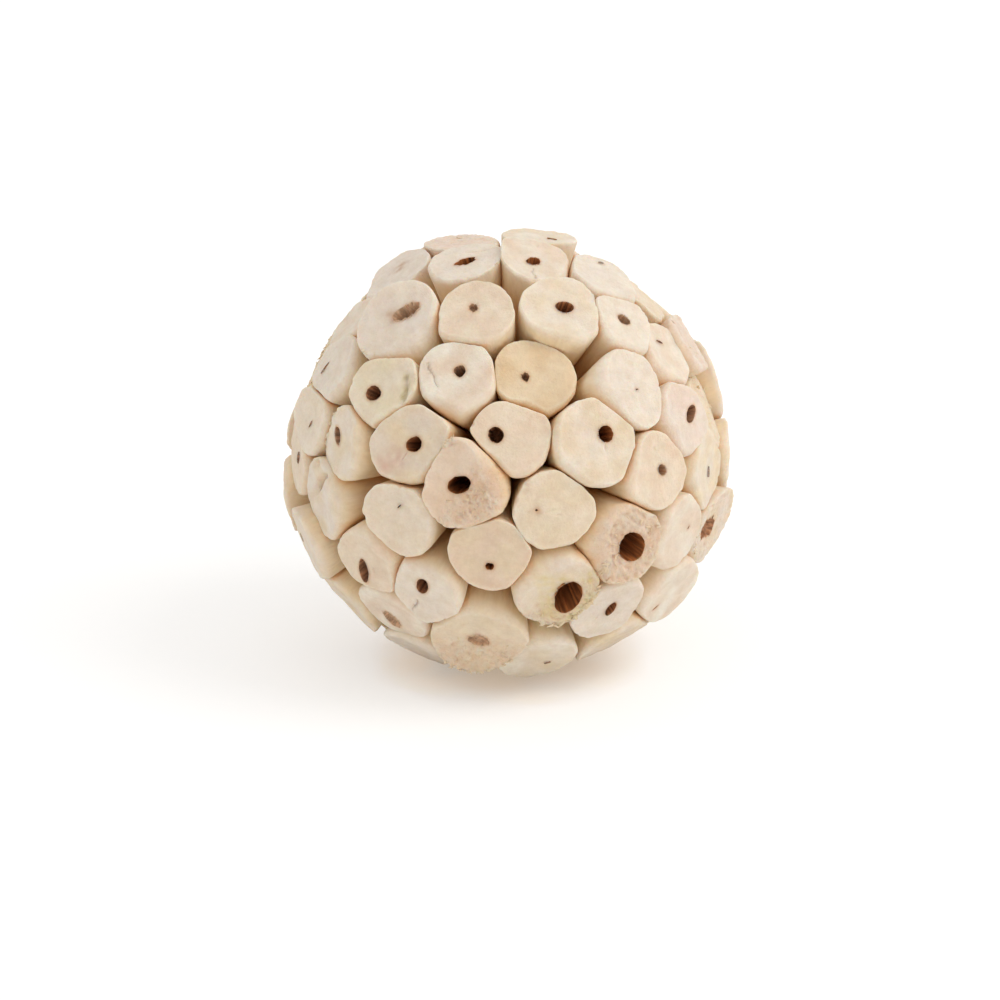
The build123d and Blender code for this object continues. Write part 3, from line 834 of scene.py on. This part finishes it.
def make_piece(piece_name, parts):
    """One mesh object from sheets, each (stem, rings, colours, wall, crumbly, channel rows)."""
    faces, kinds, painted = [], [], []
    count = 0
    for stem, rings, colour, wall, crumbly, channel_rows in parts:
        points, joined = join_rings(rings, count)
        count += len(points)
        faces += joined
        around = rings.shape[1]
        lined, sides = max(channel_rows - 1, 0) * around, (len(rings) - 1) * around
        kinds += [1] * lined + [0] * (sides - lined) + [int(lined > 0)] * around + [0] * around
        place = np.stack([points @ stem.east, points @ stem.north, points @ stem.way], axis=1)
        painted.append((points + middle, place, per_point(colour), per_point(wall), per_point(crumbly)))
    points, places, colours, walls, crumbs = map(np.concatenate, zip(*painted))
    points[:, 2] = np.maximum(points[:, 2], 0)
    mesh = bpy.data.meshes.new(piece_name)
    mesh.from_pydata(points / 1000, [], faces)
    mesh.polygons.foreach_set("material_index", kinds)
    mesh.polygons.foreach_set("use_smooth", [True] * len(kinds))
    keep(mesh, "stem_place", "FLOAT_VECTOR", "vector", places)
    keep(mesh, "stem_colour", "FLOAT_COLOR", "color", np.hstack([colours, np.ones((count, 1))]))
    keep(mesh, "wall_share", "FLOAT", "value", walls)
    keep(mesh, "crumbly", "FLOAT", "value", crumbs)
    mesh.update()
    return new_object(piece_name, mesh)


# %% [markdown]
# ## The pith material
#
# Sola pith is dried plant tissue: cream, matte and a little see-through, because its
# thin cell walls scatter light instead of stopping it. One material covers the cut
# and the wall. On the cut it has the fine mottling and the open pores of cells cut
# across, about a third of a millimetre wide. On the wall the same cells are seen
# from the side, as fibres along the stem. The two patterns are mixed by the share
# kept on the mesh, so they run into each other over a worn rim.

# %% A helper for node materials
def add_node(tree, kind, settings=None, inputs=None):
    """Adds one node. An input is a number, a colour, a socket, or a node's first socket in use."""
    node = tree.nodes.new("ShaderNode" + kind)
    for name, value in (settings or {}).items():
        setattr(node, name, value)
    for name, value in (inputs or {}).items():
        if isinstance(value, bpy.types.Node):
            value = next(socket for socket in value.outputs if socket.enabled)
        if isinstance(value, bpy.types.NodeSocket):
            tree.links.new(value, node.inputs[name])
        else:
            node.inputs[name].default_value = value
    return node


def new_material(material_name):
    """An empty node material and its tree."""
    material = bpy.data.materials.new(material_name)
    material.use_nodes = True
    material.node_tree.nodes.clear()
    return material, material.node_tree


def stem_material(material_name):
    """The same, with the colour and the place that the stems' meshes keep."""
    material, tree = new_material(material_name)
    base = add_node(tree, "Attribute", {"attribute_name": "stem_colour"})
    place = add_node(tree, "Attribute", {"attribute_name": "stem_place"}).outputs["Vector"]
    return material, tree, base, place


def finish_shader(tree, colour, roughness, inner_light, height, bump_size, strength=1.0):
    """Dried pith: matte, with the IOR of cellulose, bumps, and soft light under its skin."""
    bump = add_node(tree, "Bump", inputs={
        "Height": height, "Strength": strength, "Distance": bump_size / 1000})
    shader = add_node(tree, "BsdfPrincipled", {"subsurface_method": "RANDOM_WALK"}, {
        "Base Color": colour, "Roughness": roughness, "IOR": 1.47, "Specular IOR Level": 0.25,
        "Subsurface Weight": inner_light, "Subsurface Radius": (1.0, 0.62, 0.35),
        "Subsurface Scale": 0.0012, "Normal": bump})
    add_node(tree, "OutputMaterial", inputs={"Surface": shader})


# %% Sola pith
cloud_size, cell_size, fibre_size = 1.8, 0.33, 0.6    # mm
along_stem = (1, 1, 0.08)    # stretches a pattern along the stem
colour_mix = {"data_type": "RGBA"}
sola_pith, tree, base, place = stem_material("sola pith, peeled and knife-cut")
wall = add_node(tree, "Attribute", {"attribute_name": "wall_share"}).outputs["Fac"]
crumbly = add_node(tree, "Attribute", {"attribute_name": "crumbly"}).outputs["Fac"]
clouds = add_node(tree, "TexNoise", inputs={
    "Vector": place, "Scale": 1 / cloud_size, "Detail": 6.0, "Roughness": 0.75})
cloud_share = add_node(tree, "MapRange", inputs={"Value": clouds, "From Min": 0.37, "From Max": 0.63})
clouded = add_node(tree, "Mix", colour_mix, {
    0: cloud_share, 6: (1.03, 1.02, 1.01, 1), 7: (0.93, 0.895, 0.85, 1)})
along = add_node(tree, "VectorMath", {"operation": "MULTIPLY"}, {0: place, 1: along_stem})
fibres = add_node(tree, "TexNoise", inputs={
    "Vector": along, "Scale": 1 / fibre_size, "Detail": 4.0, "Roughness": 0.6})
fibre_share = add_node(tree, "MapRange", inputs={"Value": fibres, "From Min": 0.35, "From Max": 0.65})
streaked = add_node(tree, "Mix", colour_mix, {
    0: fibre_share, 6: (1.03, 1.02, 1.0, 1), 7: (0.95, 0.91, 0.84, 1)})
pattern = add_node(tree, "Mix", colour_mix, {0: wall, 6: clouded, 7: streaked})
toned = add_node(tree, "Mix", {**colour_mix, "blend_type": "MULTIPLY"}, {0: 1.0, 6: base, 7: pattern})
print("made the mottling of", sola_pith.name)

# %% Pores and grain
grains = add_node(tree, "TexNoise", inputs={
    "Vector": place, "Scale": 1 / cell_size, "Detail": 3.0, "Roughness": 0.65})
looser = add_node(tree, "Math", {"operation": "MULTIPLY_ADD"}, {0: crumbly, 1: 0.07, 2: grains})
pore_depth = add_node(tree, "MapRange", inputs={"Value": looser, "From Min": 0.60, "From Max": 0.74})
pore_share = add_node(tree, "MapRange", inputs={"Value": crumbly, "To Min": 0.16, "To Max": 0.3})
pores = add_node(tree, "Math", {"operation": "MULTIPLY"}, {0: pore_depth, 1: pore_share})
pored = add_node(tree, "Mix", colour_mix, {0: pores, 6: toned, 7: (*linear("#C08C62"), 1)})
cut_height = add_node(tree, "Math", {"operation": "SUBTRACT"}, {0: grains, 1: pores})
height = add_node(tree, "Mix", {"data_type": "FLOAT"}, {0: wall, 2: cut_height, 3: fibres})
strength = add_node(tree, "Math", {"operation": "MULTIPLY_ADD"}, {0: crumbly, 1: 0.6, 2: 0.5})
finish_shader(tree, pored, 0.85, inner_light=0.5, height=height, bump_size=0.25, strength=strength)
print("made", sola_pith.name)

# %% [markdown]
# ## Loose pith
#
# A fibre or flake is far thinner than the depth that light reaches under the skin, so
# it takes the same cream colour on a plain matte surface.

# %% Loose pith
loose_pith, tree, base, place = stem_material("sola pith, loose torn fibres")
torn_cells = add_node(tree, "TexNoise", inputs={"Vector": place, "Scale": 1 / 0.15})
finish_shader(tree, base, 0.85, inner_light=0.0, height=torn_cells, bump_size=0.05)
print("made", loose_pith.name)

# %% [markdown]
# ## The channel's lining
#
# The pith channel is lined with a brown skin that has dried into ribs along the
# stem, about half a millimetre apart.

# %% Channel lining
rib_size = 0.5    # mm
lining, tree, base, place = stem_material("dried pith channel, brown ribbed lining")
along = add_node(tree, "VectorMath", {"operation": "MULTIPLY"}, {0: place, 1: (1, 1, 0.06)})
ribs = add_node(tree, "TexNoise", inputs={"Vector": along, "Scale": 1 / rib_size, "Detail": 3.0})
rib_shade = add_node(tree, "MapRange", inputs={
    "Value": ribs, "From Min": 0.35, "From Max": 0.65, "To Min": 0.8, "To Max": 1.2})
brown = add_node(tree, "VectorMath", {"operation": "SCALE"}, {0: base, "Scale": rib_shade})
finish_shader(tree, brown, 0.7, inner_light=0.2, height=ribs, bump_size=0.3)
print("made", lining.name)

# %% [markdown]
# ## The core
#
# The core is a ball of the same pith, whittled flat under each butt and stained with
# glue. It hardly shows, so the model's own solid stays and takes a plain finish.

# %% Core
core_finish, tree = new_material("whittled pith core, stained with glue")
place = add_node(tree, "TexCoord").outputs["Object"]
grain = add_node(tree, "TexNoise", inputs={"Vector": place, "Scale": 1 / 0.0015, "Detail": 4.0})
stained = add_node(tree, "Mix", colour_mix, {
    0: grain, 6: (*linear("#8E6238"), 1), 7: (*linear("#BF9463"), 1)})
finish_shader(tree, stained, 0.85, inner_light=0.2, height=grain, bump_size=0.2)
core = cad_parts["core"]
core.data.materials.clear()
core.data.materials.append(core_finish)
print("made", core_finish.name)

# %% [markdown]
# ## Dressing every stem
#
# Now each node of the model is replaced by its detailed piece. The stems that are
# looked at most get finer rings than the rest.

# %% Stems
fine, plainer = (104, 20), (72, 14)    # points round a ring, and rings on the cut
pieces = []
loose = []
number = 0
for name, found in stems.items():
    spoke_count, cut_count = fine if len(found) == 1 else plainer
    parts = []
    for stem in found:
        number += 1
        seed, look = 100 * number, look_of(name, number)
        rings, zones = stem_rings(stem, look, spoke_count, cut_count, seed)
        colours = paint(stem, look, rings, zones, seed)
        below = stem.level - rings @ stem.cut_way
        wall_share = smooth_step(below, 0.3, 1.8) * (zones[:, None] >= RIM)
        crumbly = crumbling(stem, look, rings) * (1 - wall_share)
        parts.append((stem, rings, colours, wall_share, crumbly, int((zones == CHANNEL).sum())))
        for sections, shade in loose_blades(stem, look, rings, zones, colours, seed):
            flat = np.zeros(sections.shape[:2])
            loose.append((stem, sections, np.tile(shade, (*sections.shape[:2], 1)), flat, flat, 0))
    piece = make_piece(name.replace("peg", "stem"), parts)
    piece.data.materials.append(sola_pith)
    piece.data.materials.append(lining)
    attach(piece, "root")
    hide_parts(name)
    pieces.append(piece)
print("dressed", number, "stems")

# %% Loose pieces
fibres = make_piece("loose_fibres", loose)
fibres.data.materials.append(loose_pith)
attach(fibres, "root")
pieces.append(fibres)
print(len(loose), "loose fibres and flakes")
triangles = sum(len(face.vertices) - 2 for piece in pieces for face in piece.data.polygons)
print(len(pieces), "pieces with", triangles, "triangles")

# %% [markdown]
# ## Floor, light and camera
#
# The floor is plain and pale. It takes the soft shadow of the ball, and for the
# camera part of it glows white, so that it looks like a sheet of white paper that
# runs on without an edge. Close to the ball, where ambient occlusion finds it, the
# paper's colour turns warm brown: a painted warm shadow under the ball.

# %% Floor
def white_backdrop(tree):
    """1 for the rays that see the background itself: from the camera, mirrors or glass."""
    path = add_node(tree, "LightPath").outputs
    seen = add_node(tree, "Math", {"operation": "MAXIMUM"}, {
        0: path["Is Camera Ray"], 1: path["Is Glossy Ray"]})
    return add_node(tree, "Math", {"operation": "MAXIMUM"}, {0: seen, 1: path["Is Transmission Ray"]})


floor_mesh = bpy.data.meshes.new("floor")
floor_mesh.from_pydata([(-3, -3, 0), (3, -3, 0), (3, 3, 0), (-3, 3, 0)], [], [(0, 1, 2, 3)])
floor = new_object("floor", floor_mesh)
paper, tree = new_material("matte white paper")
# painted shadow: the paper turns warm brown where the ball is within 6 mm
openness = add_node(tree, "AmbientOcclusion", {"samples": 4}, {"Distance": 0.006}).outputs["AO"]
paper_with_painted_shadow = add_node(tree, "Mix", colour_mix, {
    0: openness, 6: (0.82, 0.67, 0.50, 1), 7: (0.965, 0.957, 0.945, 1)})
matte = add_node(tree, "BsdfDiffuse", inputs={"Color": paper_with_painted_shadow})
glow = add_node(tree, "Emission", inputs={"Color": paper_with_painted_shadow, "Strength": 1.45})
share = add_node(tree, "Math", {"operation": "MULTIPLY"}, {0: white_backdrop(tree), 1: 0.32})
mixed = add_node(tree, "MixShader", inputs={0: share, 1: matte, 2: glow})
add_node(tree, "OutputMaterial", inputs={"Surface": mixed})
floor_mesh.materials.append(paper)

# %% Light
world = bpy.data.worlds.new("studio")
bpy.context.scene.world = world
world.use_nodes = True
tree = world.node_tree
tree.nodes.clear()
strength = add_node(tree, "MapRange", inputs={"Value": white_backdrop(tree), "To Min": 0.79, "To Max": 1.0})
sky = add_node(tree, "Background", inputs={"Color": (1, 1, 1, 1), "Strength": strength})
add_node(tree, "OutputWorld", inputs={"Surface": sky})


def aim(thing, target, azimuth, elevation, distance):
    """Put a lamp or a camera at a distance from a point, looking at it."""
    turn, rise = np.radians(azimuth), np.radians(elevation)
    out = Vector((np.cos(rise) * np.sin(turn), -np.cos(rise) * np.cos(turn), np.sin(rise)))
    thing.location = target + out * distance
    thing.rotation_euler = (-out).to_track_quat("-Z", "Y").to_euler()


lamp = bpy.data.lights.new("key_lamp", "AREA")
lamp.size, lamp.energy = 0.8, 5.8    # metres and watts
aim(new_object("key_lamp", lamp), Vector(middle / 1000), azimuth=74, elevation=46, distance=1.4)
print("lit by", lamp.name)

# %% Camera
camera_data = bpy.data.cameras.new("camera")
camera = new_object("camera", camera_data)
bpy.context.scene.camera = camera
view_width, view_distance, looks_down = 0.1305, 1.3, 20    # metres, metres, degrees
aim_right, aim_up = -0.00104, -0.0064    # metres from the ball's middle to the view's
camera_data.sensor_width = 36
camera_data.lens = 36 * view_distance / view_width
camera_data.clip_start, camera_data.clip_end = 0.05, 20
up = Vector((0, np.sin(np.radians(looks_down)), np.cos(np.radians(looks_down))))
target = Vector(middle / 1000) + Vector((aim_right, 0, 0)) + up * aim_up
aim(camera, target, azimuth=0, elevation=looks_down, distance=view_distance)
bpy.context.scene.view_settings.view_transform = "Standard"
print("the camera looks down", looks_down, "degrees")
